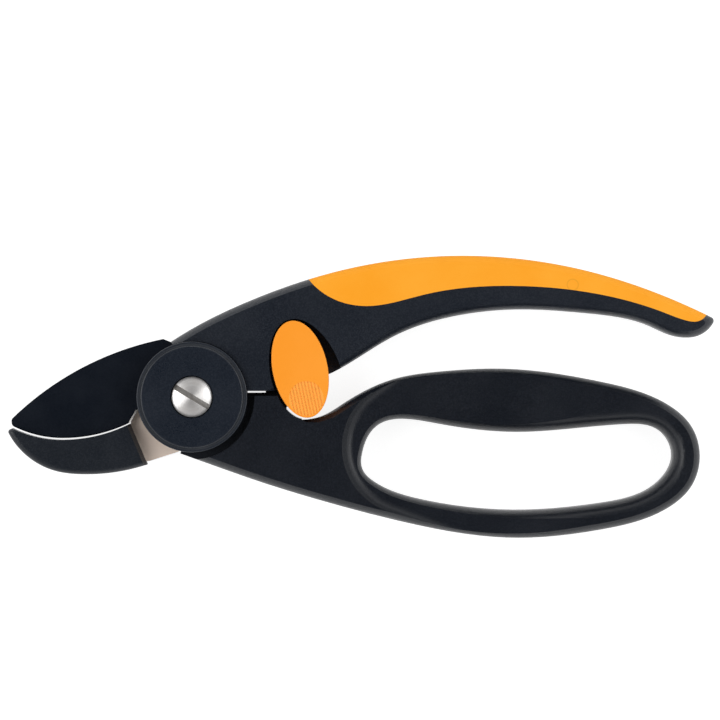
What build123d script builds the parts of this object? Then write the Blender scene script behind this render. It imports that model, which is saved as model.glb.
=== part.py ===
from build123d import *

import os
from math import atan2, ceil, cos, degrees, hypot, pi, radians, sin, sqrt

# Anvil pruning shears: a palm handle that carries the anvil, a looped finger handle that carries
# the blade, a sprung hub on one slotted screw, and a lock lever in a pocket of the palm handle.
# The pivot axis is Z through the origin, the jaws point along -X, the backs of both handles lie
# on Z = 0 and the front faces +Z. The shears are shut, as they are put away.

os.makedirs("parts", exist_ok=True)

# Pivot stack, from the back face to the front.
back_cheek = 5.0
tang_thickness = 2.8
shim_thickness = 0.4
blade_thickness = 2.8
thrust_washer_thickness = 0.4
pivot_end_play = 0.1
neck_cover = 1.5
hub_wall_height = 3.0
hub_wall_clearance = 0.4
cover_seat_depth = 1.2
cover_rise = 2.0
cover_crown = 1.4

# Hub, measured across or along a radius.
cover_diameter = 31.8
cover_recess_clearance = 0.15
cover_ledge = 2.2
cover_step_width = 1.2
cover_step_depth = 0.6
cover_step_round = 0.35
cheek_round = 1.0
hub_running_gap = 0.35
hub_wall = 2.7
groove_width = 2.1
tang_relief = 1.9
blade_slot_clearance = 0.45
blade_slot_side_clearance = 0.3
boss_diameter = 15.0
peg_diameter = 1.2
peg_length = 1.3
peg_clearance = 0.05
peg_angles = (35.0, 75.0)

# Pivot screw, its sleeve, washers and nut.
screw_diameter = 6.0
screw_clearance = 0.05
head_diameter = 11.6
head_recess_clearance = 0.35
head_recess_depth = 1.8
head_rim = 0.9
head_dome = 1.2
slot_width = 1.5
slot_depth = 1.7
slot_angle = -31.0
sleeve_diameter = 9.0
sleeve_running_clearance = 0.04
shim_diameter = 22.0
nut_across_flats = 10.0
nut_thickness = 2.8
nut_bevel = 0.5
nut_inset = 0.2
nut_pocket_clearance = 0.1
lock_washer_diameter = 9.8
lock_washer_thickness = 0.8
lock_washer_split = 0.9

# Return spring.
spring_wire = 1.0
spring_pitch = 1.5
spring_quarter_turns = 9
spring_start_angle = -150.0
spring_floor_clearance = 0.4
spring_leg_end_gap = 0.6
spring_slot_clearance = 0.3
spring_window_spare = 3.0
window_overrun = 0.2

# Jaws.
jaw_gap_angle = 0.8
opening_angle = 30.0
edge_low_point = (-37.2, -11.88)
edge_tip_radius = 32.0
edge_heel_radius = 44.0
blade_tip_x = -51.9
blade_tip_height = 1.8
blade_tip_lean = 0.2
blade_tip_round = 1.3
blade_heel_x = -17.7
blade_heel_top = (-15.6, -3.6)
blade_heel_bevel = 0.5
blade_heel_bevel_depth = 0.35
blade_shoulder = (-8.4, 16.65)
blade_spine_middle = (-30.1, 9.2)
bevel_width = 5.0
bevel_land = 0.2
hone_width = 0.35
hone_depth = 0.3
bevel_overrun = 3.0
blade_tail_angle = -30.0
blade_tail_width = 11.0
blade_tail_reach = 38.0
key_hole_diameter = 4.0
key_hole_inset = 6.0
key_hole_spacing = 8.0
anvil_tang_angle = 45.0
anvil_tang_width = 9.0
anvil_tang_reach = 36.0
anvil_width = 10.4
anvil_tip = (-53.2, -9.7)
anvil_heel_top_x = -18.0
anvil_heel_bottom = (-12.9, -19.5)
anvil_belly = [(-20.9, -21.5), (-31.0, -22.3), (-40.5, -21.0), (-48.75, -15.95)]
anvil_tip_round = 0.8
anvil_round = 1.6
anvil_end_bevel = 1.0
anvil_end_bevel_depth = 2.4
tang_lower_edge = [(-4.2, -15.9), (-12.3, -18.5)]
tang_upper_corner = (-17.5, -3.0)
tang_cover = 1.8
tang_end_gap = 4.0

# Palm handle, seen from the front.
palm_nose = (-6.0, 15.9)
palm_top = [(2.3, 20.9), (16.0, 27.4), (43.7, 36.6), (78.0, 40.6), (113.0, 36.4)]
palm_tail_top = (149.4, 22.9)
palm_tail_rise_step = (-13.4, 6.05)
palm_tail_end_step = (0.5, -1.63)
palm_tail_bottom_step = (-6.4, -5.85)
palm_tail_under_step = (-18.0, -2.35)
palm_bottom = [(112.9, 24.15), (94.5, 25.2), (76.0, 23.35), (57.5, 17.15), (41.5, 7.55)]
handle_edge_round = 3.2
handle_edge_crease = 0.3
nose_cut = 3.5
stop_corner_x = 26.0
stop_face = 1.2
stop_gap = 0.5

# Soft grip inlay.
grip_depth = 2.4
grip_front = (32.4, 35.5)
grip_edge = [
    (36.2, 31.0),
    (43.7, 27.0),
    (50.5, 26.1),
    (66.8, 29.4),
    (92.0, 31.9),
    (117.5, 29.4),
]
grip_tail_steps = [(-13.4, 1.2), (-7.4, -0.95), (-4.0, -1.15), (-2.1, -0.05), (-1.1, 1.7)]
grip_top = 60.0

# Finger handle, seen from the front.
finger_shoulder = (31.5, -6.6)
finger_edge_run_out = [(40.3, -6.0), (36.7, -7.3), (33.1, -7.3)]
finger_outline = [
    (43.7, -1.8),
    (57.5, 4.95),
    (71.4, 7.3),
    (89.8, 8.1),
    (117.5, 4.4),
    (136.1, -1.75),
    (143.7, -8.55),
    (146.05, -16.8),
    (143.7, -25.6),
    (136.1, -32.4),
    (117.5, -38.2),
    (94.5, -40.55),
    (62.2, -36.3),
    (25.2, -26.25),
]
finger_chin = (-3.4, -16.3)
loop_outline = [
    (48.7, -17.3),
    (55.0, -7.25),
    (71.4, -7.85),
    (94.5, -10.1),
    (123.5, -7.9),
    (134.9, -10.0),
    (138.15, -16.8),
    (134.0, -24.6),
    (117.5, -30.6),
    (94.5, -32.6),
    (66.8, -29.75),
    (52.2, -24.35),
]
loop_inner_round = 3.8
slab_width = 400.0
dish_centre = (63.1, -14.5)
dish_radius = 20.0
dish_angles = (125.0, 250.0)
dish_depth = 1.2
dish_slope_width = 2.2
dish_slope_round = 4.0
dish_run_out = 70.0
dish_reach = 40.0
stop_rebate = 0.9
buffer_width = 4.4
buffer_left = 21.1
buffer_depth = 1.6
buffer_proud = 0.9
buffer_back = 1.0
buffer_cover = 1.0
buffer_seat_gap = 0.2
buffer_seat_side_gap = 0.5

# Lock lever.
lever_centre = (31.1, 7.95)
lever_length = 28.3
lever_width = 15.8
lever_tilt = 11.8
lever_thickness = 6.4
lever_proud = 0.3
lever_floor_gap = 0.3
lever_side_gap = 0.45
lever_notch_gap = 0.3
lever_notch_open_x = 27.1
lever_edge_round = 0.3
lever_pin_offset = 10.6
lever_lock_turn = -2.0
lever_release_turn = 14.5
tooth_offset = -9.0
tooth_height = 1.6
tooth_reach = 0.8
tooth_length = 2.2
tooth_back_inset = 0.6
tooth_slot_clearance = 0.2
tooth_slot_drop = 0.9
pad_centre = (0.0, -8.6)
pad_diameter = 10.0
pad_depth = 0.8
pad_rib_count = 11
pad_rib_width = 0.5
pad_rib_depth = 0.15
pin_diameter = 4.0
pin_running_clearance = 0.05
pin_head_diameter = 7.6
pin_head_thickness = 1.5
pin_head_inset = 0.5
pin_head_clearance = 0.3
pin_head_round = 0.4
pin_tip_cover = 1.8
lever_washer_thickness = 0.6

# Levels worked out from the stack.
tang_back = back_cheek
tang_front = tang_back + tang_thickness
blade_back = tang_front + shim_thickness
blade_front = blade_back + blade_thickness
edge_level = blade_front - hone_depth
boss_back = blade_front + thrust_washer_thickness + pivot_end_play
neck_front = blade_front + neck_cover
hub_wall_front = blade_front + hub_wall_height
cover_back = hub_wall_front + hub_wall_clearance
handle_front = cover_back + cover_seat_depth
cover_front = handle_front + cover_rise
cover_ceiling = cover_front - cover_crown
head_seat = cover_front - head_recess_depth
nut_front = nut_inset + nut_thickness
nut_pocket_depth = nut_front + lock_washer_thickness
lever_front = handle_front + lever_proud
lever_back = lever_front - lever_thickness
lever_floor = lever_back - lever_floor_gap
buffer_front = lever_floor - buffer_cover
pin_head_front = pin_head_inset + pin_head_thickness
pin_pocket_depth = pin_head_front + lever_washer_thickness
cutter_spare = 1.0
above_all = cover_front + cutter_spare

# Radii worked out from the hub.
cover_radius = cover_diameter / 2
fork_radius = cover_radius - cover_ledge
hub_radius = fork_radius - hub_running_gap
hub_bore = hub_radius - hub_wall
groove_radius = cover_radius + groove_width
boss_radius = boss_diameter / 2
spring_radius = (hub_bore + boss_radius) / 2
sleeve_bore = screw_diameter / 2 + screw_clearance
blade_bore = sleeve_diameter / 2 + sleeve_running_clearance
head_recess_radius = head_diameter / 2 + head_recess_clearance
shoulder_radius = hypot(*blade_shoulder)
peg_radius = fork_radius + cover_ledge / 2

# The lever's pockets clear it at both ends of its travel and between them.
lever_turns = (lever_lock_turn, 0, lever_release_turn / 2, lever_release_turn)

# The lever's tooth stands out from the oval at the tooth's upper side.
tooth_top = tooth_offset + tooth_height / 2
tooth_tip = lever_width / 2 * sqrt(1 - (2 * tooth_top / lever_length) ** 2) + tooth_reach

# The spring's lower leg leaves the coil along a tangent and crosses the turning hub's wall there.
leg_end_radius = hub_radius - spring_leg_end_gap
leg_length = sqrt(leg_end_radius**2 - spring_radius**2)
leg_turn = degrees(atan2(leg_length, spring_radius))
leg_side_turn = degrees((spring_wire / 2 + spring_slot_clearance) / hub_bore)
leg_cross_turn = degrees(atan2(sqrt(hub_bore**2 - spring_radius**2), spring_radius))
window_start = spring_start_angle - leg_turn - leg_side_turn
window_span = leg_turn - leg_cross_turn + 2 * leg_side_turn + opening_angle + spring_window_spare
spring_end_angle = spring_start_angle + 90 * spring_quarter_turns
window_height = spring_floor_clearance + spring_wire + spring_slot_clearance


def turned(point, angle):
    """A point of the front view turned about the pivot, counter-clockwise in degrees."""
    x, y = point
    c, s = cos(radians(angle)), sin(radians(angle))
    return (x * c - y * s, x * s + y * c)


def edge_point(x):
    """The point of the blade's cutting edge that stands at x."""
    low_x, low_y = edge_low_point
    radius = edge_tip_radius if x < low_x else edge_heel_radius
    return (x, low_y + radius - sqrt(radius**2 - (x - low_x) ** 2))


def key_holes(reach):
    """The holes that key a steel tail of this reach into its handle."""
    last = reach - key_hole_inset
    return [(last - key_hole_spacing, 0), (last, 0)]


def peg_place(angle):
    """Where a peg of the hub cover stands on the fork's ledge."""
    return (peg_radius * cos(radians(angle)), peg_radius * sin(radians(angle)))


def lever_plan(turn, margin):
    """The lever's oval, grown by margin and turned about its pin."""
    with BuildSketch() as plan:
        with Locations(lever_place(turn)):
            Ellipse(lever_width / 2 + margin, lever_length / 2 + margin)
    return plan.sketch


def lever_place(turn):
    """Where the middle of the lever is, and how it lies, when it is turned about its pin."""
    tilt = radians(lever_tilt)
    pin_x = lever_centre[0] - lever_pin_offset * sin(tilt)
    pin_y = lever_centre[1] + lever_pin_offset * cos(tilt)
    return Pos(pin_x, pin_y) * Rot(0, 0, lever_tilt + turn) * Pos(0, -lever_pin_offset)


def palm_tail(step):
    """A point of the palm handle's tail, a step away from the top of its end."""
    return (palm_tail_top[0] + step[0], palm_tail_top[1] + step[1])


def palm_plan():
    """The palm handle from the front."""
    with BuildSketch() as plan:
        with BuildLine():
            top = Spline([palm_nose, *palm_top, palm_tail(palm_tail_rise_step), palm_tail_top])
            corner = TangentArc((top @ 1, palm_tail(palm_tail_end_step)), tangent=top % 1)
            under = TangentArc((corner @ 1, palm_tail(palm_tail_bottom_step)), tangent=corner % 1)
            stop = (stop_corner_x, stop_face + stop_gap)
            hollow = [palm_tail(palm_tail_under_step), *palm_bottom]
            Spline([under @ 1, *hollow, stop], tangents=(under % 1, (-1.0, -0.35)))
            Polyline(stop, (0, stop_face + stop_gap), top @ 0)
        make_face()
    return plan.sketch


lever_pin_place = lever_place(0) * Pos(0, lever_pin_offset)
pin_x, pin_y = lever_pin_place.position.X, lever_pin_place.position.Y
pad_place = lever_place(0) * Pos(*pad_centre)

# Blade: coated steel plate with an eye at the pivot and a tail moulded into the finger handle.
# Its convex edge is ground from the back and honed from the front.
with BuildPart() as blade:
    with BuildSketch(Plane.XY.offset(blade_back)):
        with BuildLine():
            tip = edge_point(blade_tip_x)
            tip_top = (blade_tip_x - blade_tip_lean, tip[1] + blade_tip_height)
            near_tip = edge_point((blade_tip_x + edge_low_point[0]) / 2)
            heel = edge_point(blade_heel_x)
            near_heel = edge_point((heel[0] + edge_low_point[0]) / 2)
            ThreePointArc(tip, near_tip, edge_low_point)
            ThreePointArc(edge_low_point, near_heel, heel)
            Polyline(heel, blade_heel_top, (0, 0), (0, hub_radius), blade_shoulder)
            ThreePointArc(blade_shoulder, blade_spine_middle, tip_top)
            Line(tip_top, tip)
        make_face()
        Circle(hub_radius)
        with Locations(Rot(0, 0, blade_tail_angle) * Pos(blade_tail_reach / 2, 0)):
            Rectangle(blade_tail_reach, blade_tail_width)
        with Locations(Rot(0, 0, blade_tail_angle)):
            with Locations(key_holes(blade_tail_reach)):
                Circle(key_hole_diameter / 2, mode=Mode.SUBTRACT)
        Circle(blade_bore, mode=Mode.SUBTRACT)
    extrude(amount=blade_thickness)
    fillet(blade.edges().filter_by(Axis.Z).sort_by(Axis.X)[:2], blade_tip_round)
    heel_middle = ((heel[0] + blade_heel_top[0]) / 2, (heel[1] + blade_heel_top[1]) / 2, blade_front)
    heel_edge = blade.edges().sort_by_distance(heel_middle)[0]
    front_face = blade.faces().sort_by(Axis.Z)[-1]
    chamfer(heel_edge, blade_heel_bevel, blade_heel_bevel_depth, reference=front_face)
    for radius, far_x in ((edge_tip_radius, blade_tip_x - bevel_overrun), (edge_heel_radius, heel[0])):
        centre = (edge_low_point[0], edge_low_point[1] + radius)
        sweep_angle = degrees(atan2(far_x - centre[0], centre[1] - edge_point(far_x)[1]))
        for face, side, width in ((blade_front, 1, hone_width), (blade_back, -1, bevel_width)):
            with BuildSketch(Plane(origin=(*centre, 0), x_dir=(0, -1, 0), z_dir=(-1, 0, 0))) as bevel:
                with BuildLine():
                    Polyline(
                        (radius - width, face),
                        (radius, edge_level + side * bevel_land / 2),
                        (radius + cutter_spare, edge_level + side * bevel_land / 2),
                        (radius + cutter_spare, face + side * cutter_spare),
                        (radius - width, face + side * cutter_spare),
                        close=True,
                    )
                make_face()
            revolve(bevel.sketch, Axis(centre, (0, 0, 1)), sweep_angle, mode=Mode.SUBTRACT)
blade.part.label = "blade"
export_step(blade.part, "parts/blade.step")

# Anvil tang: bare steel plate behind the blade, with its tail moulded into the palm handle.
anvil_back = (tang_back + blade_front - anvil_width) / 2
face_tip = turned(edge_point(blade_tip_x), jaw_gap_angle)
face_near_tip = turned(edge_point((blade_tip_x + edge_low_point[0]) / 2), jaw_gap_angle)
face_low = turned(edge_low_point, jaw_gap_angle)
face_near_heel = turned(edge_point((anvil_heel_top_x + edge_low_point[0]) / 2), jaw_gap_angle)
face_heel = turned(edge_point(anvil_heel_top_x), jaw_gap_angle)
with BuildPart() as anvil_tang:
    with BuildSketch(Plane.XY.offset(tang_back)):
        with BuildLine():
            start = (face_tip[0] + tang_end_gap, edge_point(face_tip[0] + tang_end_gap)[1] - tang_cover)
            low = (face_low[0], face_low[1] - tang_cover)
            end = (face_heel[0], face_heel[1] - tang_cover)
            ThreePointArc(start, low, end)
            Polyline(end, tang_upper_corner, (0, 0), (0, -hub_radius), *tang_lower_edge)
            belly = Spline([tang_lower_edge[-1], *[(x, y + tang_cover) for x, y in anvil_belly[:-1]]])
            Line(belly @ 1, start)
        make_face()
        Circle(hub_radius)
        with Locations(Rot(0, 0, anvil_tang_angle) * Pos(anvil_tang_reach / 2, 0)):
            Rectangle(anvil_tang_reach, anvil_tang_width)
        with Locations(Rot(0, 0, anvil_tang_angle)):
            with Locations(key_holes(anvil_tang_reach)):
                Circle(key_hole_diameter / 2, mode=Mode.SUBTRACT)
        Circle(sleeve_bore, mode=Mode.SUBTRACT)
    extrude(amount=tang_thickness)
anvil_tang.part.label = "anvil_tang"
export_step(anvil_tang.part, "parts/anvil_tang.step")

# Anvil: moulded shoe round the tang. Its face is the blade's edge, a little way shut.
with BuildPart() as anvil:
    with BuildSketch(Plane.XY.offset(anvil_back)):
        with BuildLine():
            ThreePointArc(face_tip, face_near_tip, face_low)
            ThreePointArc(face_low, face_near_heel, face_heel)
            Line(face_heel, anvil_heel_bottom)
            Spline([anvil_heel_bottom, *anvil_belly, anvil_tip])
            Line(anvil_tip, face_tip)
        make_face()
    extrude(amount=anvil_width)
    fillet(anvil.edges().filter_by(Axis.Z).sort_by(Axis.X)[0], anvil_tip_round)
    end = anvil.faces().sort_by(Axis.X)[-1]
    chamfer(end.edges().sort_by(Axis.Z)[-1], anvil_end_bevel_depth, anvil_end_bevel, reference=end)
    belly_edges = [anvil.edges().group_by(Axis.Z)[level].sort_by(SortBy.LENGTH)[-1] for level in (0, -1)]
    fillet(belly_edges, anvil_round)
    add(anvil_tang.part, mode=Mode.SUBTRACT)
anvil.part.label = "anvil"
export_step(anvil.part, "parts/anvil.step")


def finger_plan():
    """The finger handle from the front, without its loop and its stop block."""
    with BuildSketch() as plan:
        with BuildLine():
            back_corner = (0, finger_shoulder[1])
            Line(back_corner, finger_shoulder)
            Spline([finger_shoulder, *finger_outline, finger_chin], tangents=((1, 0), (-1, 0.36)))
            Line(finger_chin, back_corner)
        make_face()
    return plan.sketch


def looped_slab():
    """A slab as thick as the handles and wider than both, with the finger loop and its rounded rims."""
    with BuildPart() as slab:
        with BuildSketch():
            Rectangle(slab_width, slab_width)
            with BuildLine():
                Spline(loop_outline, periodic=True)
            make_face(mode=Mode.SUBTRACT)
        extrude(amount=handle_front)
        fillet(slab.edges().filter_by(lambda edge: edge.is_closed), loop_inner_round)
    return slab.part


def loop_dish():
    """What is cut away at the front end of the finger loop: a step that runs out along the bars."""
    start_angle, end_angle = dish_angles
    floor_middle = handle_front - dish_depth * (1 - dish_radius / dish_run_out)
    floor = Plane(
        origin=(*dish_centre, floor_middle),
        x_dir=(dish_run_out, 0, dish_depth),
        z_dir=(-dish_depth, 0, dish_run_out),
    )
    lift = dish_depth + cutter_spare
    with BuildPart() as dish:
        for height in (0, lift):
            radius = dish_radius - dish_slope_width * (1 - height / dish_depth)
            with BuildSketch(floor.offset(height)):
                with BuildLine():
                    front = CenterArc((0, 0), radius, start_angle, end_angle - start_angle)
                    above = front @ 0 - (front % 0) * dish_reach
                    below = front @ 1 + (front % 1) * dish_reach
                    below_end = (dish_run_out, below.Y)
                    above_end = (dish_run_out, above.Y)
                    Polyline(front @ 1, below, below_end, above_end, above, front @ 0)
                make_face()
        loft(ruled=True)
        fillet(dish.edges().filter_by(GeomType.CIRCLE).sort_by(Axis.Z)[0], dish_slope_round)
    return dish.part


# Finger handle: moulding with the finger loop, a stop block and the turning hub round the spring.
with BuildPart() as finger_handle:
    with BuildSketch(Plane.XY.offset(-handle_edge_crease)):
        add(finger_plan())
    extrude(amount=handle_front + 2 * handle_edge_crease)
    rims = [finger_handle.edges().group_by(Axis.Z)[level].sort_by(SortBy.LENGTH)[-1] for level in (0, -1)]
    fillet(rims, handle_edge_round)
    add(looped_slab(), mode=Mode.INTERSECT)
    with BuildSketch():
        with BuildLine():
            block_bottom = finger_shoulder[1] - 2 * handle_edge_round
            Polyline(
                (0, block_bottom),
                (finger_shoulder[0], block_bottom),
                *finger_edge_run_out,
                finger_shoulder,
                (finger_shoulder[0], stop_face),
                (0, stop_face),
                close=True,
            )
        make_face()
    extrude(amount=handle_front)
    with BuildSketch(Plane.XY.offset(lever_floor)):
        with Locations((0, stop_face)):
            Rectangle(finger_shoulder[0], stop_rebate, align=(Align.MIN, Align.MAX))
    extrude(amount=above_all - lever_floor, mode=Mode.SUBTRACT)
    add(loop_dish(), mode=Mode.SUBTRACT)
    add(loop_dish().mirror(Plane.XY.offset(handle_front / 2)), mode=Mode.SUBTRACT)
    with BuildSketch(Plane.XY.offset(neck_front)):
        Circle(groove_radius)
    extrude(amount=above_all - neck_front, mode=Mode.SUBTRACT)
    with BuildSketch():
        Circle(groove_radius + tang_relief)
    extrude(amount=blade_back, mode=Mode.SUBTRACT)
    with BuildSketch(Plane.XY.offset(blade_back)):
        Circle(hub_bore)
    extrude(amount=above_all - blade_back, mode=Mode.SUBTRACT)
    with BuildSketch(Plane.XY.offset(blade_front)):
        Circle(hub_radius)
        Circle(hub_bore, mode=Mode.SUBTRACT)
    extrude(amount=hub_wall_height)
    add(blade.part, mode=Mode.SUBTRACT)
    with BuildSketch(Plane.XY.offset(lever_floor)):
        for turn in lever_turns:
            add(lever_plan(turn, lever_notch_gap))
    extrude(amount=above_all - lever_floor, mode=Mode.SUBTRACT)
    with BuildSketch():
        for turn in lever_turns:
            add(lever_plan(turn, lever_notch_gap))
        with Locations((lever_notch_open_x, 0)):
            Rectangle(lever_length, 2 * lever_length, align=(Align.MIN, Align.CENTER), mode=Mode.INTERSECT)
    extrude(amount=lever_floor, mode=Mode.SUBTRACT)
    with BuildSketch(Plane.XY.offset(lever_back + tooth_back_inset - tooth_slot_clearance)):
        with Locations(lever_place(lever_lock_turn) * Pos(0, tooth_top + tooth_slot_clearance)):
            Rectangle(
                tooth_tip + tooth_slot_clearance,
                tooth_height + tooth_slot_clearance + tooth_slot_drop,
                align=(Align.MAX, Align.MAX),
            )
    extrude(amount=tooth_length + 2 * tooth_slot_clearance, mode=Mode.SUBTRACT)
    with BuildSketch(Plane.XY.offset(blade_front)):
        with BuildLine():
            inner = CenterArc((0, 0), hub_bore - cutter_spare, window_start, window_span)
            outer = CenterArc((0, 0), hub_radius + window_overrun, window_start, window_span)
            Line(inner @ 0, outer @ 0)
            Line(inner @ 1, outer @ 1)
        make_face()
    extrude(amount=window_height, mode=Mode.SUBTRACT)
    with BuildSketch(Plane.XY.offset(buffer_back)):
        with Locations((buffer_left, stop_face - buffer_depth)):
            Rectangle(buffer_width, buffer_depth + cutter_spare, align=(Align.MIN, Align.MIN))
    extrude(amount=buffer_front - buffer_back, mode=Mode.SUBTRACT)
finger_handle.part.label = "finger_handle"
export_step(finger_handle.part, "parts/finger_handle.step")

# Stop buffer: soft pad let into the stop face of the finger handle.
with BuildPart() as stop_buffer:
    with BuildSketch(Plane.XY.offset(buffer_back)):
        with Locations((buffer_left, stop_face - buffer_depth)):
            Rectangle(buffer_width, buffer_depth + buffer_proud, align=(Align.MIN, Align.MIN))
    extrude(amount=buffer_front - buffer_back)
stop_buffer.part.label = "stop_buffer"
export_step(stop_buffer.part, "parts/stop_buffer.step")


def palm_block():
    """The palm handle's whole outer form, with a crease where the flat faces meet the rounded edge."""
    with BuildPart() as block:
        with BuildSketch(Plane.XY.offset(-handle_edge_crease)):
            add(palm_plan())
        extrude(amount=handle_front + 2 * handle_edge_crease)
        rims = [block.edges().group_by(Axis.Z)[level].sort_by(SortBy.LENGTH)[-2:] for level in (0, -1)]
        fillet([edge for rim in rims for edge in rim], handle_edge_round)
        with BuildSketch():
            add(palm_plan())
        extrude(amount=handle_front, mode=Mode.INTERSECT)
    return block.part


def cheek_block():
    """The round back cheek of the hub, which backs the anvil tang."""
    with BuildPart() as cheek:
        with BuildSketch():
            Circle(cover_radius)
        extrude(amount=tang_front)
        fillet(cheek.edges().group_by(Axis.Z)[0], cheek_round)
    return cheek.part


# Soft grip: saddle of soft rubber moulded over the upper side of the palm handle.
with BuildPart() as soft_grip:
    add(palm_block())
    with BuildSketch():
        with BuildLine():
            wave = Spline([grip_front, *grip_edge, *[palm_tail(step) for step in grip_tail_steps]])
            Polyline(wave @ 1, ((wave @ 1).X, grip_top), (grip_front[0], grip_top), wave @ 0)
        make_face()
    extrude(amount=above_all, mode=Mode.INTERSECT)
    with BuildSketch(Plane.XY.offset(grip_depth)):
        add(palm_plan())
        add(Pos(0, -grip_depth) * palm_plan(), mode=Mode.INTERSECT)
    extrude(amount=handle_front - 2 * grip_depth, mode=Mode.SUBTRACT)
soft_grip.part.label = "soft_grip"
export_step(soft_grip.part, "parts/soft_grip.step")

# Palm handle: moulding with the back cheek of the hub, the fork over the turning hub, the seat of
# the cover, the pocket of the lever and the seats of the nut, the lever pin and the stop buffer.
with BuildPart() as palm_handle:
    add(palm_block())
    add(cheek_block())
    with BuildSketch(Plane.XY.offset(tang_front)):
        Circle(fork_radius)
    extrude(amount=cover_back - tang_front, mode=Mode.SUBTRACT)
    with BuildSketch(Plane.XY.offset(tang_front)):
        Circle(shoulder_radius + blade_slot_clearance)
        with Locations((nose_cut, 0)):
            Rectangle(2 * cover_radius, 2 * cover_radius, align=(Align.MAX, Align.MIN))
    extrude(amount=blade_front + blade_slot_side_clearance - tang_front, mode=Mode.SUBTRACT)
    with BuildSketch(Plane.XY.offset(cover_back)):
        Circle(cover_radius + cover_recess_clearance)
    extrude(amount=above_all - cover_back, mode=Mode.SUBTRACT)
    with BuildSketch(Plane.XY.offset(cover_back)):
        with Locations([peg_place(angle) for angle in peg_angles]):
            Circle(peg_diameter / 2 + peg_clearance)
    extrude(amount=-peg_length - peg_clearance, mode=Mode.SUBTRACT)
    add(anvil_tang.part, mode=Mode.SUBTRACT)
    with BuildSketch():
        Circle(sleeve_bore)
    extrude(amount=tang_front, mode=Mode.SUBTRACT)
    with BuildSketch():
        RegularPolygon(nut_across_flats / 2 + nut_pocket_clearance, 6, major_radius=False)
    extrude(amount=nut_pocket_depth, mode=Mode.SUBTRACT)
    with BuildSketch(Plane.XY.offset(lever_floor)):
        for turn in lever_turns:
            add(lever_plan(turn, lever_side_gap))
    extrude(amount=above_all - lever_floor, mode=Mode.SUBTRACT)
    with BuildSketch():
        with Locations((pin_x, pin_y)):
            Circle(pin_diameter / 2 + pin_running_clearance)
    extrude(amount=above_all, mode=Mode.SUBTRACT)
    with BuildSketch():
        with Locations((pin_x, pin_y)):
            Circle(pin_head_diameter / 2 + pin_head_clearance)
    extrude(amount=pin_pocket_depth, mode=Mode.SUBTRACT)
    with BuildSketch():
        with Locations((buffer_left - buffer_seat_side_gap, stop_face)):
            Rectangle(
                buffer_width + 2 * buffer_seat_side_gap,
                buffer_proud + buffer_seat_gap,
                align=(Align.MIN, Align.MIN),
            )
    extrude(amount=buffer_front + buffer_seat_gap, mode=Mode.SUBTRACT)
    add(soft_grip.part, mode=Mode.SUBTRACT)
palm_handle.part.label = "palm_handle"
export_step(palm_handle.part, "parts/palm_handle.step")

# Hub cover: moulded cap that sits on the fork's ledge on two pegs. Its boss holds the screw head
# and clamps the sleeve, and the spring winds round the boss.
with BuildPart() as hub_cover:
    with BuildSketch(Plane.XZ):
        with BuildLine():
            Polyline(
                (sleeve_bore, boss_back),
                (boss_radius, boss_back),
                (boss_radius, cover_ceiling),
                (hub_bore, cover_ceiling),
                (hub_bore, cover_back),
                (cover_radius, cover_back),
                (cover_radius, cover_front - cover_step_depth),
                (cover_radius - cover_step_width, cover_front - cover_step_depth),
                (cover_radius - cover_step_width, cover_front),
                (head_recess_radius, cover_front),
                (head_recess_radius, head_seat),
                (sleeve_bore, head_seat),
                close=True,
            )
        make_face()
    revolve(axis=Axis.Z)
    rings = hub_cover.edges().filter_by(GeomType.CIRCLE).group_by(Axis.Z)
    fillet([rings[level].sort_by(SortBy.RADIUS)[-1] for level in (-1, -2)], cover_step_round)
    with BuildSketch(Plane.XY.offset(cover_back)):
        with Locations([peg_place(angle) for angle in peg_angles]):
            Circle(peg_diameter / 2)
    extrude(amount=-peg_length)
    with BuildSketch(Plane.XY.offset(cover_back)):
        with Locations(Rot(0, 0, spring_end_angle) * Pos(spring_radius, 0)):
            Rectangle(
                spring_wire + 2 * spring_slot_clearance,
                leg_length + spring_slot_clearance,
                align=(Align.CENTER, Align.MIN),
            )
    extrude(amount=cover_ceiling - cover_back, mode=Mode.SUBTRACT)
hub_cover.part.label = "hub_cover"
export_step(hub_cover.part, "parts/hub_cover.step")

# Pivot screw: domed slotted head in the recess of the cover, shank through the whole stack.
with BuildPart() as pivot_screw:
    with BuildSketch(Plane.XZ):
        with BuildLine():
            rim_top = (head_diameter / 2, head_seat + head_rim)
            crown = (0, head_seat + head_rim + head_dome)
            Polyline(
                crown,
                (0, nut_inset),
                (screw_diameter / 2, nut_inset),
                (screw_diameter / 2, head_seat),
                (head_diameter / 2, head_seat),
                rim_top,
            )
            dome_radius = (rim_top[0] ** 2 + head_dome**2) / (2 * head_dome)
            shoulder_x = rim_top[0] / 2
            shoulder_z = crown[1] - dome_radius + sqrt(dome_radius**2 - shoulder_x**2)
            ThreePointArc(rim_top, (shoulder_x, shoulder_z), crown)
        make_face()
    revolve(axis=Axis.Z)
    with BuildSketch(Plane.XY.offset(crown[1])):
        with Locations(Rot(0, 0, slot_angle)):
            Rectangle(head_diameter + 2 * cutter_spare, slot_width)
    extrude(amount=-slot_depth, mode=Mode.SUBTRACT)
pivot_screw.part.label = "pivot_screw"
export_step(pivot_screw.part, "parts/pivot_screw.step")

# Pivot sleeve: steel bush clamped between the tang and the cover's boss, on which the blade turns.
with BuildPart() as pivot_sleeve:
    with BuildSketch(Plane.XY.offset(tang_front)):
        Circle(sleeve_diameter / 2)
        Circle(sleeve_bore, mode=Mode.SUBTRACT)
    extrude(amount=boss_back - tang_front)
pivot_sleeve.part.label = "pivot_sleeve"
export_step(pivot_sleeve.part, "parts/pivot_sleeve.step")

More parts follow.
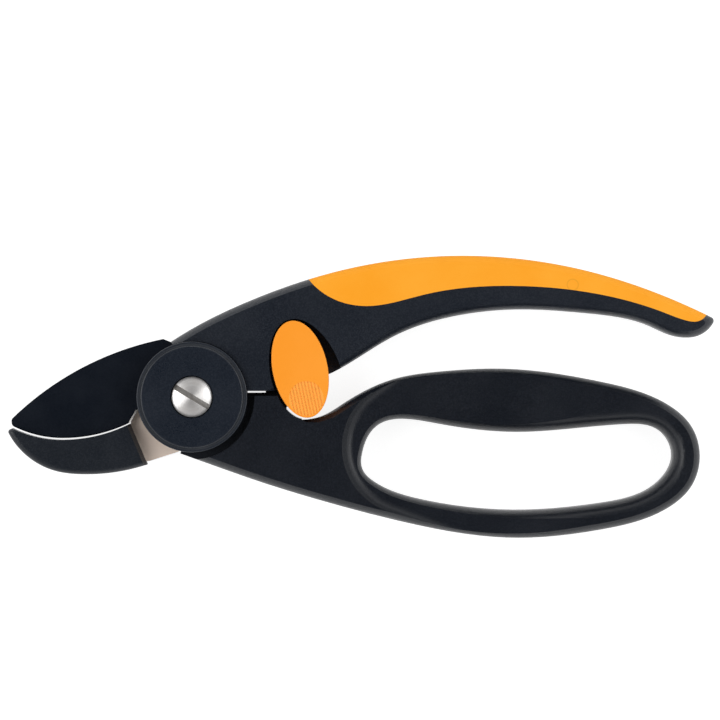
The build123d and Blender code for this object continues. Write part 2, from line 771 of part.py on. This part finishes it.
# Blade shim: thin washer that keeps the blade off the tang.
with BuildPart() as blade_shim:
    with BuildSketch(Plane.XY.offset(tang_front)):
        Circle(shim_diameter / 2)
        Circle(blade_bore, mode=Mode.SUBTRACT)
    extrude(amount=shim_thickness)
blade_shim.part.label = "blade_shim"
export_step(blade_shim.part, "parts/blade_shim.step")

# Thrust washer: between the blade and the cover's boss.
with BuildPart() as thrust_washer:
    with BuildSketch(Plane.XY.offset(boss_back)):
        Circle(boss_radius)
        Circle(blade_bore, mode=Mode.SUBTRACT)
    extrude(amount=-thrust_washer_thickness)
thrust_washer.part.label = "thrust_washer"
export_step(thrust_washer.part, "parts/thrust_washer.step")

# Pivot nut: hexagon nut in the back of the palm handle.
with BuildPart() as pivot_nut:
    with BuildSketch(Plane.XY.offset(nut_inset)):
        RegularPolygon(nut_across_flats / 2, 6, major_radius=False)
        Circle(sleeve_bore, mode=Mode.SUBTRACT)
    extrude(amount=nut_thickness)
    chamfer(pivot_nut.edges().group_by(Axis.Z)[0].filter_by(GeomType.LINE), nut_bevel)
pivot_nut.part.label = "pivot_nut"
export_step(pivot_nut.part, "parts/pivot_nut.step")

# Lock washer: split spring ring under the nut.
with BuildPart() as lock_washer:
    with BuildSketch(Plane.XY.offset(nut_front)):
        Circle(lock_washer_diameter / 2)
        Circle(sleeve_bore, mode=Mode.SUBTRACT)
        Rectangle(
            lock_washer_diameter, lock_washer_split, align=(Align.MIN, Align.CENTER), mode=Mode.SUBTRACT
        )
    extrude(amount=lock_washer_thickness)
lock_washer.part.label = "lock_washer"
export_step(lock_washer.part, "parts/lock_washer.step")


def coil_point(quarter):
    """A point on the spring's centre line, and the direction of the wire there, after some quarter turns."""
    angle = radians(spring_start_angle + 90 * quarter)
    rise = spring_pitch / 4
    height = blade_front + spring_floor_clearance + spring_wire / 2 + rise * quarter
    point = Vector(spring_radius * cos(angle), spring_radius * sin(angle), height)
    arc = spring_radius * pi / 2
    return point, Vector(-arc * sin(angle), arc * cos(angle), rise).normalized()


# Return spring: torsion spring round the boss. Its lower leg pushes on the turning hub's wall
# and its upper leg lies in a slot of the cover. Each quarter turn is two arcs that meet in line.
with BuildPart() as return_spring:
    with BuildLine() as wire_path:
        first, first_way = coil_point(0)
        last, last_way = coil_point(spring_quarter_turns)
        Line(first - first_way * leg_length, first)
        for quarter in range(spring_quarter_turns):
            here, way = coil_point(quarter)
            there, next_way = coil_point(quarter + 1)
            chord = there - here
            ways = way + next_way
            spread = 4 - ways.dot(ways)
            along = chord.dot(ways)
            reach = (sqrt(along**2 + spread * chord.dot(chord)) - along) / spread
            before = here + way * reach
            after = there - next_way * reach
            middle = (before + after) / 2
            TangentArc((here, middle), tangent=way)
            TangentArc((middle, there), tangent=after - before)
        Line(last, last + last_way * leg_length)
    with BuildSketch(Plane(origin=wire_path.line @ 0, z_dir=wire_path.line % 0)):
        Circle(spring_wire / 2)
    sweep()
return_spring.part.label = "return_spring"
samples_in_quarter = 60
wire_samples = samples_in_quarter * spring_quarter_turns
wire_points = [wire_path.line @ (step / wire_samples) for step in range(wire_samples + 1)]
half_turn = ceil(2 * wire_samples / spring_quarter_turns)
wire_gap = min(
    (wire_points[a] - wire_points[b]).length
    for a in range(wire_samples + 1)
    for b in range(a + half_turn, wire_samples + 1)
)
print("least gap between the spring's turns", round(wire_gap - spring_wire, 3))
export_step(return_spring.part, "parts/return_spring.step")

# Lock lever: oval moulding that turns on its pin. The tooth on its lower left side enters the
# finger handle when the lever is pushed over to lock.
with BuildPart() as lock_lever:
    with BuildSketch(Plane.XY.offset(lever_back)):
        add(lever_plan(0, 0))
    extrude(amount=lever_thickness)
    fillet(lock_lever.edges().group_by(Axis.Z)[-1], lever_edge_round)
    with BuildSketch(Plane.XY.offset(lever_back + tooth_back_inset)):
        with Locations(lever_place(0) * Pos(0, tooth_offset)):
            Rectangle(tooth_tip, tooth_height, align=(Align.MAX, Align.CENTER))
    extrude(amount=tooth_length)
    with BuildSketch(Plane.XY.offset(lever_back)):
        with Locations((pin_x, pin_y)):
            Circle(pin_diameter / 2)
    extrude(amount=lever_thickness - pin_tip_cover, mode=Mode.SUBTRACT)
    with BuildSketch(Plane.XY.offset(lever_front - pad_depth)):
        with Locations(pad_place):
            Circle(pad_diameter / 2)
    extrude(amount=pad_depth, mode=Mode.SUBTRACT)
lock_lever.part.label = "lock_lever"
export_step(lock_lever.part, "parts/lock_lever.step")

# Lever pad: round soft inlay with fine upright ribs for the thumb.
with BuildPart() as lever_pad:
    with BuildSketch(Plane.XY.offset(lever_front - pad_depth)):
        with Locations(pad_place):
            Circle(pad_diameter / 2)
    extrude(amount=pad_depth)
    with BuildSketch(Plane.XY.offset(lever_front)):
        with Locations(pad_place):
            with GridLocations(pad_diameter / pad_rib_count, 0, pad_rib_count - 1, 1):
                Rectangle(pad_diameter / pad_rib_count - pad_rib_width, pad_diameter)
    extrude(amount=-pad_rib_depth, mode=Mode.SUBTRACT)
lever_pad.part.label = "lever_pad"
export_step(lever_pad.part, "parts/lever_pad.step")

# Lever pin: headed pin from the back, turning in the palm handle and pressed into the lever.
with BuildPart() as lever_pin:
    with BuildSketch(Plane.XY.offset(pin_head_inset)):
        with Locations((pin_x, pin_y)):
            Circle(pin_head_diameter / 2)
    extrude(amount=pin_head_thickness)
    fillet(lever_pin.edges().group_by(Axis.Z)[0], pin_head_round)
    with BuildSketch(Plane.XY.offset(pin_head_inset)):
        with Locations((pin_x, pin_y)):
            Circle(pin_diameter / 2)
    extrude(amount=lever_front - pin_tip_cover - pin_head_inset)
lever_pin.part.label = "lever_pin"
export_step(lever_pin.part, "parts/lever_pin.step")

# Lever washer: spring washer under the pin's head, which holds the lever where it is put.
with BuildPart() as lever_washer:
    with BuildSketch(Plane.XY.offset(pin_head_front)):
        with Locations((pin_x, pin_y)):
            Circle(pin_head_diameter / 2)
            Circle(pin_diameter / 2 + pin_running_clearance, mode=Mode.SUBTRACT)
    extrude(amount=lever_washer_thickness)
lever_washer.part.label = "lever_washer"
export_step(lever_washer.part, "parts/lever_washer.step")
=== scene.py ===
import bmesh
import bpy
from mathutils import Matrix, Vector

# Anvil pruning shears on a white sheet, seen from straight above, shut and lying on their back.
# The jaws point to -X, the palm handle lies on the +Y side and the front of the tool faces +Z.
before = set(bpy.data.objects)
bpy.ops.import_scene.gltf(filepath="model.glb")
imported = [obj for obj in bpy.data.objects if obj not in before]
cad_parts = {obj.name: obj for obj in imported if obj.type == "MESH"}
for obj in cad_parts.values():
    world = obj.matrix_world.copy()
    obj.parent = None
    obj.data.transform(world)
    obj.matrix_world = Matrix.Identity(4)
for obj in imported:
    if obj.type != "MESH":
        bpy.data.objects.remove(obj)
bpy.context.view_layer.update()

# Palm handle: the upper moulding, which carries the anvil, the hub's fork and the lock lever.
# Black fibre-filled nylon from a spark-eroded mould: a fine even grain, short fibres that show as
# faint paler flecks, and little gloss.
mm = 0.001
noise_span = (0.3, 0.7)
fleck_span = (0.45, 0.65)
nylon_shine = 0.36
nylon_grain_depth = 0.012 * mm
edge_fullness = 2.0
palm_tones = (0.0058, 0.0086, 0.0148), (0.0152, 0.019, 0.027)
handle_grain = 0.4 * mm
handle_dullness = 0.36


def new_finish(name):
    """A material with its node tree and its surface shader."""
    material = bpy.data.materials.new(name)
    material.use_nodes = True
    tree = material.node_tree
    return material, tree, tree.nodes["Principled BSDF"]


def add_node(tree, kind, settings=None, **sockets):
    """A node with its settings, and its input sockets set to numbers or wired to other sockets."""
    made = tree.nodes.new(kind)
    for key, value in (settings or {}).items():
        setattr(made, key, value)
    for key, value in sockets.items():
        place = int(key[1:]) if key.startswith("i") and key[1:].isdigit() else key.replace("_", " ")
        if isinstance(value, bpy.types.NodeSocket):
            tree.links.new(value, made.inputs[place])
        else:
            made.inputs[place].default_value = value
    return made


def place_in_metres(tree):
    """Where a point of the surface is, in the frame that all the pieces share."""
    return add_node(tree, "ShaderNodeTexCoord").outputs["Object"]


def speckle(tree, size, detail=2.0, roughness=0.5, where=None):
    """Soft noise whose spots are about this size, in metres."""
    where = where or place_in_metres(tree)
    made = add_node(tree, "ShaderNodeTexNoise", Vector=where, Scale=1 / size)
    made.inputs["Detail"].default_value = detail
    made.inputs["Roughness"].default_value = roughness
    return made.outputs["Fac"]


def spread(tree, value, low, high, to_low, to_high, smooth=False):
    """A value between low and high carried over to another span, and held at its ends."""
    made = add_node(tree, "ShaderNodeMapRange", {"interpolation_type": "SMOOTHSTEP" if smooth else "LINEAR"})
    tree.links.new(value, made.inputs["Value"])
    for socket, number in (("From Min", low), ("From Max", high), ("To Min", to_low), ("To Max", to_high)):
        made.inputs[socket].default_value = number
    return made.outputs["Result"]


def sum_of(tree, first, second, kind="ADD"):
    """Two values added, or joined by another sum."""
    return add_node(tree, "ShaderNodeMath", {"operation": kind}, i0=first, i1=second).outputs[0]


def colour_between(tree, share, first, second):
    """A colour that goes from the first to the second as the share goes from 0 to 1."""
    made = add_node(tree, "ShaderNodeMix", {"data_type": "RGBA"}, i0=share)
    for place, colour in ((6, first), (7, second)):
        if isinstance(colour, bpy.types.NodeSocket):
            tree.links.new(colour, made.inputs[place])
        else:
            made.inputs[place].default_value = (*colour, 1)
    return made.outputs[2]


def raise_grain(tree, shader, height, depth):
    """Lifts the surface by a height pattern of this depth, in metres."""
    made = add_node(tree, "ShaderNodeBump", Height=height, Distance=depth)
    tree.links.new(made.outputs[0], shader.inputs["Normal"])
    return made


def full_edges(tree, fullness):
    """The way the surface faces, with rounded edges as full as on a section taller than it is wide."""
    normal = add_node(tree, "ShaderNodeNewGeometry").outputs["Normal"]
    stretch = {"operation": "MULTIPLY"}
    full = add_node(tree, "ShaderNodeVectorMath", stretch, i0=normal, i1=(fullness, fullness, 1)).outputs[0]
    return add_node(tree, "ShaderNodeVectorMath", {"operation": "NORMALIZE"}, i0=full).outputs[0]


def nylon(name, dark, pale, grain_size, dullness, fullness=1.0):
    """Matte moulded nylon with an eroded grain, pale flecks of fibre and a slightly uneven gloss."""
    cloud_share = 0.3
    fleck_share = 0.8
    grain_play = 0.06
    cloud_play = 0.03
    material, tree, shader = new_finish(name)
    grain = speckle(tree, grain_size, detail=3.0, roughness=0.6)
    cloud = speckle(tree, 40 * grain_size, detail=4.0)
    fleck = spread(tree, speckle(tree, 0.9 * grain_size, detail=1.0), *fleck_span, 0, 1)
    clouded = spread(tree, cloud, *noise_span, 0, cloud_share)
    tone = sum_of(tree, clouded, spread(tree, fleck, 0, 1, 0, fleck_share))
    tree.links.new(colour_between(tree, tone, dark, pale), shader.inputs["Base Color"])
    uneven = spread(tree, grain, *noise_span, dullness - grain_play, dullness + grain_play)
    rough = sum_of(tree, uneven, spread(tree, cloud, *noise_span, -cloud_play, cloud_play))
    tree.links.new(rough, shader.inputs["Roughness"])
    shader.inputs["Specular IOR Level"].default_value = nylon_shine
    skin = raise_grain(tree, shader, sum_of(tree, grain, fleck), nylon_grain_depth)
    tree.links.new(full_edges(tree, fullness), skin.inputs["Normal"])
    return material


def dress(node, material):
    """Gives a piece of the frame its finish."""
    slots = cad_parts[node].data.materials
    slots.clear()
    slots.append(material)


dress("palm_handle", nylon("palm_nylon", *palm_tones, handle_grain, handle_dullness, edge_fullness))

# Soft grip: a saddle of orange rubber moulded over the back of the palm handle. Its skin is dull
# and a little cloudy, and the moulding gate left a small faint ring on its front.
tight_span = (0.35, 0.65)
rubber_cloud = 18 * mm
rubber_shine = 0.22
rubber_skin_depth = 0.012 * mm
grip_tones = (0.98, 0.36, 0.011), (1.0, 0.405, 0.025)
gate_place = (109.4 * mm, 32.2 * mm, 15.6 * mm)
gate_radius = 1.6 * mm
gate_line = 0.3 * mm
gate_shade = (0.86, 0.86, 0.86)


def soft_rubber(name, dark, pale, grain_size, dullness):
    """Dull elastomer or plain plastic with a cloudy tone and a very fine skin."""
    cloud_play = 0.05
    material, tree, shader = new_finish(name)
    cloud = speckle(tree, rubber_cloud, detail=5.0, roughness=0.55)
    skin = speckle(tree, grain_size)
    tone = sum_of(tree, spread(tree, cloud, *tight_span, 0, 0.8), spread(tree, skin, *noise_span, -0.1, 0.2))
    tree.links.new(colour_between(tree, tone, dark, pale), shader.inputs["Base Color"])
    rough = spread(tree, cloud, *noise_span, dullness - cloud_play, dullness + cloud_play)
    tree.links.new(rough, shader.inputs["Roughness"])
    shader.inputs["Specular IOR Level"].default_value = rubber_shine
    raise_grain(tree, shader, skin, rubber_skin_depth)
    return material


def distance_from(tree, middle):
    """How far a point of the surface is from the middle, in metres."""
    settings = {"operation": "DISTANCE"}
    made = add_node(tree, "ShaderNodeVectorMath", settings, i0=place_in_metres(tree), i1=middle)
    return made.outputs["Value"]


def off_by(tree, value, level):
    """How far a value is from a level, on either side of it."""
    return sum_of(tree, sum_of(tree, value, level, "SUBTRACT"), 0.0, "ABSOLUTE")


def colour_so_far(material):
    """A finish's node tree, its surface shader and the colour that it has so far."""
    tree = material.node_tree
    shader = tree.nodes["Principled BSDF"]
    return tree, shader, shader.inputs["Base Color"].links[0].from_socket


grip_rubber = soft_rubber("grip_rubber", *grip_tones, 0.3 * mm, 0.62)
tree, shader, skin_colour = colour_so_far(grip_rubber)
off_line = off_by(tree, distance_from(tree, gate_place), gate_radius)
ring = spread(tree, off_line, 0.0, gate_line, 1.0, 0.0, smooth=True)
shade = colour_between(tree, ring, (1, 1, 1), gate_shade)
multiply = {"data_type": "RGBA", "blend_type": "MULTIPLY"}
shaded = add_node(tree, "ShaderNodeMix", multiply, i0=1.0, i6=skin_colour, i7=shade)
tree.links.new(shaded.outputs[2], shader.inputs["Base Color"])
dress("soft_grip", grip_rubber)

# Anvil tang: bare steel plate under the blade, ground flat and left uncoated. Its tail is moulded
# into the palm handle and the anvil is moulded round its front end. The ground face is so dull that
# it shows its own warm grey more than it mirrors.
steel_cloud = 6 * mm
steel_mark_depth = 0.006 * mm
along_grinding = (0.03, 1, 1)
tang_tone = (0.88, 0.735, 0.63)
tang_mirror = 0.1


def bare_steel(name, colour, dullness, line_width, where):
    """Bare steel with fine tool marks that follow a pattern of places."""
    mark_play = 0.07
    cloud_play = 0.04
    material, tree, shader = new_finish(name)
    marks = speckle(tree, line_width, detail=3.0, roughness=0.7, where=where(tree))
    cloud = speckle(tree, steel_cloud, detail=4.0)
    paler = tuple(min(1, 1.12 * part) for part in colour)
    tone = sum_of(tree, spread(tree, cloud, *noise_span, 0, 0.6), spread(tree, marks, *tight_span, 0, 0.4))
    tree.links.new(colour_between(tree, tone, colour, paler), shader.inputs["Base Color"])
    uneven = spread(tree, marks, *noise_span, dullness - mark_play, dullness + mark_play)
    rough = sum_of(tree, uneven, spread(tree, cloud, *noise_span, -cloud_play, cloud_play))
    tree.links.new(rough, shader.inputs["Roughness"])
    shader.inputs["Metallic"].default_value = 1.0
    raise_grain(tree, shader, marks, steel_mark_depth)
    return material


def straight_marks(tree):
    """Places squeezed along X, so that marks run along it."""
    return add_node(tree, "ShaderNodeMapping", Vector=place_in_metres(tree), Scale=along_grinding).outputs[0]


tang_steel = bare_steel("tang_steel", tang_tone, 0.6, 0.15 * mm, straight_marks)
tang_steel.node_tree.nodes["Principled BSDF"].inputs["Metallic"].default_value = tang_mirror
dress("anvil_tang", tang_steel)

# Anvil: the shoe of nylon moulded round the front end of the tang. The blade's edge comes down on
# its hollow face.
anvil_tones = (0.004, 0.0065, 0.011), (0.012, 0.0153, 0.0217)
fine_grain = 0.36 * mm
dress("anvil", nylon("anvil_nylon", *anvil_tones, fine_grain, 0.36))

# Finger handle: the lower moulding, with the closed loop and the turning hub. It is the same nylon
# from the same kind of mould, given darker tones than the palm handle as painted shade, and the blade's tail
# is moulded into it.
finger_shaded_tones = (0.002, 0.0036, 0.0072), (0.007, 0.0094, 0.0152)
dress("finger_handle", nylon("finger_nylon_painted_darker", *finger_shaded_tones, handle_grain, handle_dullness, edge_fullness))

# Blade: hardened steel plate, ground from the back and coated black against sticking. The coating
# is smooth and slightly silky, and the bevel of the heel is ground bare.
coat_tones = (0.0014, 0.0032, 0.0072), (0.0052, 0.0078, 0.0136)
coat_cloud = 9 * mm
coat_grain = 0.3 * mm
coat_shine = 0.15
coat_grain_depth = 0.008 * mm
ground_steel = (1.0, 0.97, 0.92)
heel_start = -18.3 * mm
heel_fade = 0.2 * mm
front_facing = (0.5, 0.55)
nearly_flat = (0.95, 0.985)


def coordinate(tree, axis):
    """One coordinate of a point of the surface, in metres."""
    return add_node(tree, "ShaderNodeSeparateXYZ", Vector=place_in_metres(tree)).outputs[axis]


def coated_steel(name, dark, pale, bare):
    """Black low-friction coating over steel, ground away where the front is bevelled at the heel."""
    material, tree, shader = new_finish(name)
    cloud = speckle(tree, coat_cloud, detail=4.0)
    fine = speckle(tree, coat_grain)
    tone = sum_of(tree, spread(tree, cloud, *noise_span, 0, 0.4), spread(tree, fine, *tight_span, 0, 0.6))
    coat = colour_between(tree, tone, dark, pale)
    normal = add_node(tree, "ShaderNodeNewGeometry").outputs["True Normal"]
    rise = add_node(tree, "ShaderNodeSeparateXYZ", Vector=normal).outputs["Z"]
    facing = spread(tree, rise, *front_facing, 0, 1)
    tilted = sum_of(tree, facing, spread(tree, rise, *nearly_flat, 1, 0), "MULTIPLY")
    at_heel = spread(tree, coordinate(tree, "X"), heel_start, heel_start + heel_fade, 0, 1)
    bevelled = sum_of(tree, tilted, at_heel, "MULTIPLY")
    tree.links.new(colour_between(tree, bevelled, coat, bare), shader.inputs["Base Color"])
    tree.links.new(bevelled, shader.inputs["Metallic"])
    uneven = spread(tree, cloud, *noise_span, 0.38, 0.46)
    rough = sum_of(tree, uneven, spread(tree, fine, *noise_span, -0.04, 0.04))
    tree.links.new(rough, shader.inputs["Roughness"])
    shader.inputs["Specular IOR Level"].default_value = coat_shine
    raise_grain(tree, shader, fine, coat_grain_depth)
    return material


dress("blade", coated_steel("blade_coating", *coat_tones, ground_steel))

# Stop buffer: a small black rubber pad let into the finger handle's stop face, which takes the
# knock when the jaws shut.
buffer_tones = (0.006, 0.006, 0.006), (0.01, 0.01, 0.01)
dress("stop_buffer", soft_rubber("buffer_rubber", *buffer_tones, 0.3 * mm, 0.7))

# Blade shim and thrust washer: thin rings of natural acetal, punched from sheet, that keep steel
# off steel inside the hub.
acetal_tones = (0.72, 0.72, 0.68), (0.8, 0.8, 0.76)
acetal = soft_rubber("acetal", *acetal_tones, 0.3 * mm, 0.45)
for node in ("blade_shim", "thrust_washer"):
    dress(node, acetal)

# Return spring, lock washer and lever washer: spring steel, wound from wire or pressed from strip
# and left plain. They sit out of sight, in the hub and under the nut and the lever pin.
spring_steel = bare_steel("spring_steel", (0.45, 0.45, 0.44), 0.36, 0.1 * mm, straight_marks)
for node in ("return_spring", "lock_washer", "lever_washer"):
    dress(node, spring_steel)

# Hub cover: a round cap with a stepped rim, moulded in a finer grain and pressed on two pegs over
# the spring. Its rim carries a painted highlight: a paler ring, broken into patches.
cover_tones = (0.0055, 0.009, 0.0162), (0.0148, 0.0195, 0.029)
rim_middle = 14.95 * mm
highlight_reach = 0.8 * mm
rim_painted_highlight = (0.042, 0.046, 0.053)
highlight_patch = 5 * mm
least_highlight = 0.5


def distance_from_axis(tree, axis_x, axis_y):
    """How far a point of the surface is from an upright axis, in metres."""
    parts = add_node(tree, "ShaderNodeSeparateXYZ", Vector=place_in_metres(tree)).outputs
    flat = add_node(tree, "ShaderNodeCombineXYZ", X=parts["X"], Y=parts["Y"]).outputs[0]
    settings = {"operation": "DISTANCE"}
    made = add_node(tree, "ShaderNodeVectorMath", settings, i0=flat, i1=(axis_x, axis_y, 0))
    return made.outputs["Value"]


cover_nylon = nylon("cover_nylon", *cover_tones, fine_grain, 0.33)
tree, shader, grained = colour_so_far(cover_nylon)
# Painted highlight: a paler ring round the rim, broken into patches.
off_rim = off_by(tree, distance_from_axis(tree, 0.0, 0.0), rim_middle)
rim_highlit = spread(tree, off_rim, 0.0, highlight_reach, 1, 0, smooth=True)
patchy = spread(tree, speckle(tree, highlight_patch, detail=3.0), *noise_span, least_highlight, 1.0)
patchy_rim_highlight = sum_of(tree, rim_highlit, patchy, "MULTIPLY")
tree.links.new(colour_between(tree, patchy_rim_highlight, grained, rim_painted_highlight), shader.inputs["Base Color"])
dress("hub_cover", cover_nylon)

# Pivot screw, its sleeve and its nut, and the pin of the lever: stainless steel, turned on a lathe,
# so the marks run round each axis and the sheen fans out across them. The floor of the screw's slot
# is milled, and it is painted darker as painted shade in the recess.
stainless = (0.98, 0.935, 0.9)
lathe_mark = 0.18 * mm
slot_floor = 16.3 * mm
slot_band = (0.1 * mm, 0.2 * mm)
slot_painted_shade = (0.47, 0.45, 0.43)
pin_axis = (28.93 * mm, 18.33 * mm)


def turned_steel(name, axis_x, axis_y):
    """Stainless steel turned about an upright axis."""

    def turned_marks(tree):
        """How far a place is from the axis, and how high it is."""
        away = distance_from_axis(tree, axis_x, axis_y)
        return add_node(tree, "ShaderNodeCombineXYZ", X=away, Z=coordinate(tree, "Z")).outputs[0]

    material = bare_steel(name, stainless, 0.42, lathe_mark, turned_marks)
    tree = material.node_tree
    shader = tree.nodes["Principled BSDF"]
    shader.inputs["Anisotropic"].default_value = 0.6
    shader.inputs["Anisotropic Rotation"].default_value = 0.25
    round_axis = add_node(tree, "ShaderNodeTangent", {"direction_type": "RADIAL", "axis": "Z"})
    tree.links.new(round_axis.outputs[0], shader.inputs["Tangent"])
    return material


pivot_steel = turned_steel("pivot_steel", 0.0, 0.0)
tree, shader, bright = colour_so_far(pivot_steel)
# Painted shade: the floor of the slot is darkened by its height.
slot_shade_mask = spread(tree, off_by(tree, coordinate(tree, "Z"), slot_floor), *slot_band, 1, 0)
tree.links.new(colour_between(tree, slot_shade_mask, bright, slot_painted_shade), shader.inputs["Base Color"])
for node in ("pivot_screw", "pivot_sleeve", "pivot_nut"):
    dress(node, pivot_steel)
dress("lever_pin", turned_steel("pin_steel", *pin_axis))

# Lock lever: an oval of satin orange plastic, polished a little smoother than the grip, that turns
# on its pin in the palm handle's pocket. Its tooth is painted dark, as painted shade where it sits deep in
# the stop slit.
lever_tones = (0.98, 0.325, 0.02), (1.0, 0.345, 0.028)
tooth_middle = (26.3 * mm, -2.25 * mm, 11.2 * mm)
tooth_shade_edge = (1.4 * mm, 2.2 * mm)
tooth_painted_shade = (0.012, 0.011, 0.01)
lever_plastic = soft_rubber("lever_plastic", *lever_tones, 0.25 * mm, 0.5)
tree, shader, orange = colour_so_far(lever_plastic)
# Painted shade: the tooth is darkened round its middle, where it sits in the slit.
tooth_shaded = spread(tree, distance_from(tree, tooth_middle), *tooth_shade_edge, 1, 0)
tree.links.new(colour_between(tree, tooth_shaded, orange, tooth_painted_shade), shader.inputs["Base Color"])
dress("lock_lever", lever_plastic)

# Lever pad: the finely ribbed round inlay under the thumb, in a softer and redder orange rubber,
# moulded into a recess of the lever. The grooves between its ribs are painted a little paler, as painted
# light that evens out their shade.
pad_tones = (1.0, 0.385, 0.052), (1.0, 0.41, 0.064)
rib_top = 15.9 * mm
groove_band = (rib_top - 0.12 * mm, rib_top - 0.03 * mm)
groove_painted_light = (1.0, 0.425, 0.068)
pad_rubber = soft_rubber("pad_rubber", *pad_tones, 0.25 * mm, 0.66)
tree, shader, orange = colour_so_far(pad_rubber)
# Painted light: the grooves are made paler to even out their shade.
groove_light_mask = spread(tree, coordinate(tree, "Z"), *groove_band, 1, 0)
tree.links.new(colour_between(tree, groove_light_mask, orange, groove_painted_light), shader.inputs["Base Color"])
dress("lever_pad", pad_rubber)

# White sheet of paper under the tool, a hair below its back. It lights the tool's lower edges, looks
# white to the eye, and keeps the soft shadow where the tool rests on it.
sheet_half_width = 3.0
sheet_drop = 0.05 * mm
sheet_tone = (0.45, 0.45, 0.45, 1)
sheet_glow = 0.85
sheet_mesh = bpy.data.meshes.new("white_sheet")
shape = bmesh.new()
bmesh.ops.create_grid(shape, x_segments=2, y_segments=2, size=sheet_half_width)
bmesh.ops.translate(shape, verts=shape.verts, vec=(0, 0, -sheet_drop))
shape.to_mesh(sheet_mesh)
shape.free()
sheet = bpy.data.objects.new("white_sheet", sheet_mesh)
bpy.context.scene.collection.objects.link(sheet)
paper, tree, shader = new_finish("white_paper")
shader.inputs["Base Color"].default_value = sheet_tone
shader.inputs["Roughness"].default_value = 0.9
shader.inputs["Specular IOR Level"].default_value = 0.0
rays = add_node(tree, "ShaderNodeLightPath")
seen = sum_of(tree, rays.outputs["Is Camera Ray"], rays.outputs["Is Glossy Ray"], "MAXIMUM")
seen = sum_of(tree, seen, rays.outputs["Is Transmission Ray"], "MAXIMUM")
shader.inputs["Emission Color"].default_value = (1, 1, 1, 1)
tree.links.new(sum_of(tree, seen, sheet_glow, "MULTIPLY"), shader.inputs["Emission Strength"])
paper.cycles.emission_sampling = "NONE"
sheet_mesh.materials.append(paper)

# Light tent: bright round the foot, darker towards the top where the camera looks in, and white to
# the eye.
foot_light = 1.65
roof_light = 0.0
world = bpy.data.worlds.new("light_tent")
bpy.context.scene.world = world
world.use_nodes = True
tree = world.node_tree
background = tree.nodes["Background"]
direction = add_node(tree, "ShaderNodeTexCoord").outputs["Generated"]
up = add_node(tree, "ShaderNodeSeparateXYZ", Vector=direction).outputs["Z"]
tent = spread(tree, up, 0.0, 1.0, foot_light, roof_light)
rays = add_node(tree, "ShaderNodeLightPath")
unseen = sum_of(tree, 1.0, rays.outputs["Is Camera Ray"], "SUBTRACT")
kept = sum_of(tree, tent, unseen, "MULTIPLY")
tree.links.new(sum_of(tree, kept, rays.outputs["Is Camera Ray"]), background.inputs["Strength"])
background.inputs["Color"].default_value = (1, 1, 1, 1)

# Softboxes: two square lamps behind white cloth, one beyond the jaws and one beyond the handles,
# as high as they are far. They give the steel its sparkle.
softbox_aim = Vector((0.045, 0.0, 0.0))
softbox_width = 0.6
softboxes = (("jaw_softbox", (-0.6, 0.0, 0.6), 3.2), ("handle_softbox", (0.66, 0.12, 0.6), 2.6))
for name, place, power in softboxes:
    lamp = bpy.data.lights.new(name, "AREA")
    lamp.energy = power
    lamp.size = softbox_width
    softbox = bpy.data.objects.new(name, lamp)
    bpy.context.scene.collection.objects.link(softbox)
    softbox.location = place
    softbox.rotation_euler = (softbox_aim - softbox.location).to_track_quat("-Z", "Y").to_euler()

# Camera: straight above the middle of the picture, with a long lens. The view is as wide as stated
# at the height of the handles' outline.
view_middle = (48.3 * mm, 10.6 * mm)
view_width = 207.6 * mm
view_height = 2.0
outline_level = 7.8 * mm
camera_data = bpy.data.cameras.new("camera")
camera_data.sensor_width = 36.0
camera_data.lens = camera_data.sensor_width * view_height / view_width
camera_data.clip_start = 0.01
camera_data.clip_end = 20.0
camera = bpy.data.objects.new("camera", camera_data)
bpy.context.scene.collection.objects.link(camera)
camera.location = (*view_middle, outline_level + view_height)
bpy.context.scene.camera = camera
bpy.context.scene.view_settings.view_transform = "Standard"
